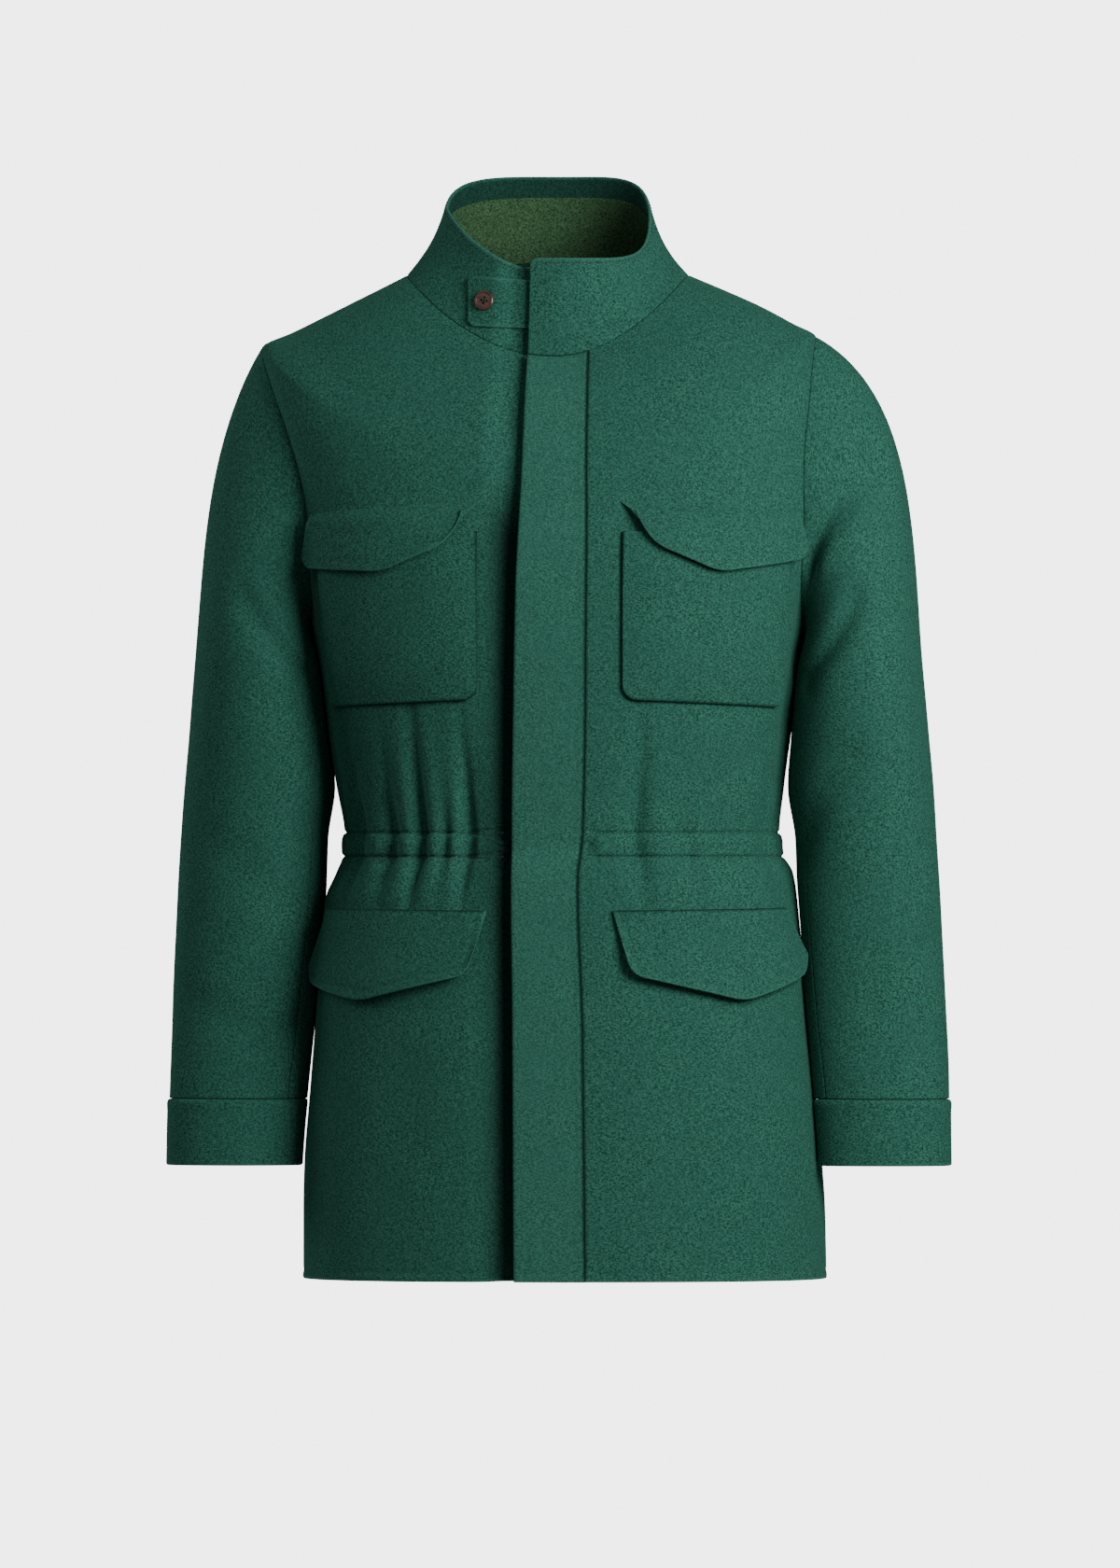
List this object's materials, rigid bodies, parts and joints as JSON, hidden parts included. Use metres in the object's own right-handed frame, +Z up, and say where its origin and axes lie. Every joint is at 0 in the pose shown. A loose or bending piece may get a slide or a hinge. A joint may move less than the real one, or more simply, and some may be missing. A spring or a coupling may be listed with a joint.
{
  "type": "field jacket",
  "caption": "Wool field jacket with a buttoned stand collar, a covered front closing, flapped chest and hip pockets, a drawn-in waist and cuff bands.",
  "frame": {"origin": "between the shoulders, level with the ends of the neck seam, where the wearer holds the jacket up", "axes": "+Z up, the front towards -Y, the wearer's left towards +X"},
  "size_m": [0.632, 0.3015, 0.8872],
  "materials": {
    "wool": "felted green wool with a short soft nap",
    "lining": "olive wool cloth",
    "horn": "reddish brown polished horn"
  },
  "bodies": {
    "root": {"front_left": "wool", "front_right": "wool", "back": "wool", "placket": "wool", "collar": "wool", "collar_tab": "wool", "sleeve_left_top": "wool", "sleeve_left_under": "wool", "sleeve_right_top": "wool", "sleeve_right_under": "wool", "cuff_left": "wool", "cuff_right": "wool", "chest_pocket_left": "wool", "chest_pocket_right": "wool", "chest_flap_left": "wool", "chest_flap_right": "wool", "hip_flap_left": "wool", "hip_flap_right": "wool", "collar_lining": "lining", "collar_button": "horn"}
  },
  "joints": []
}
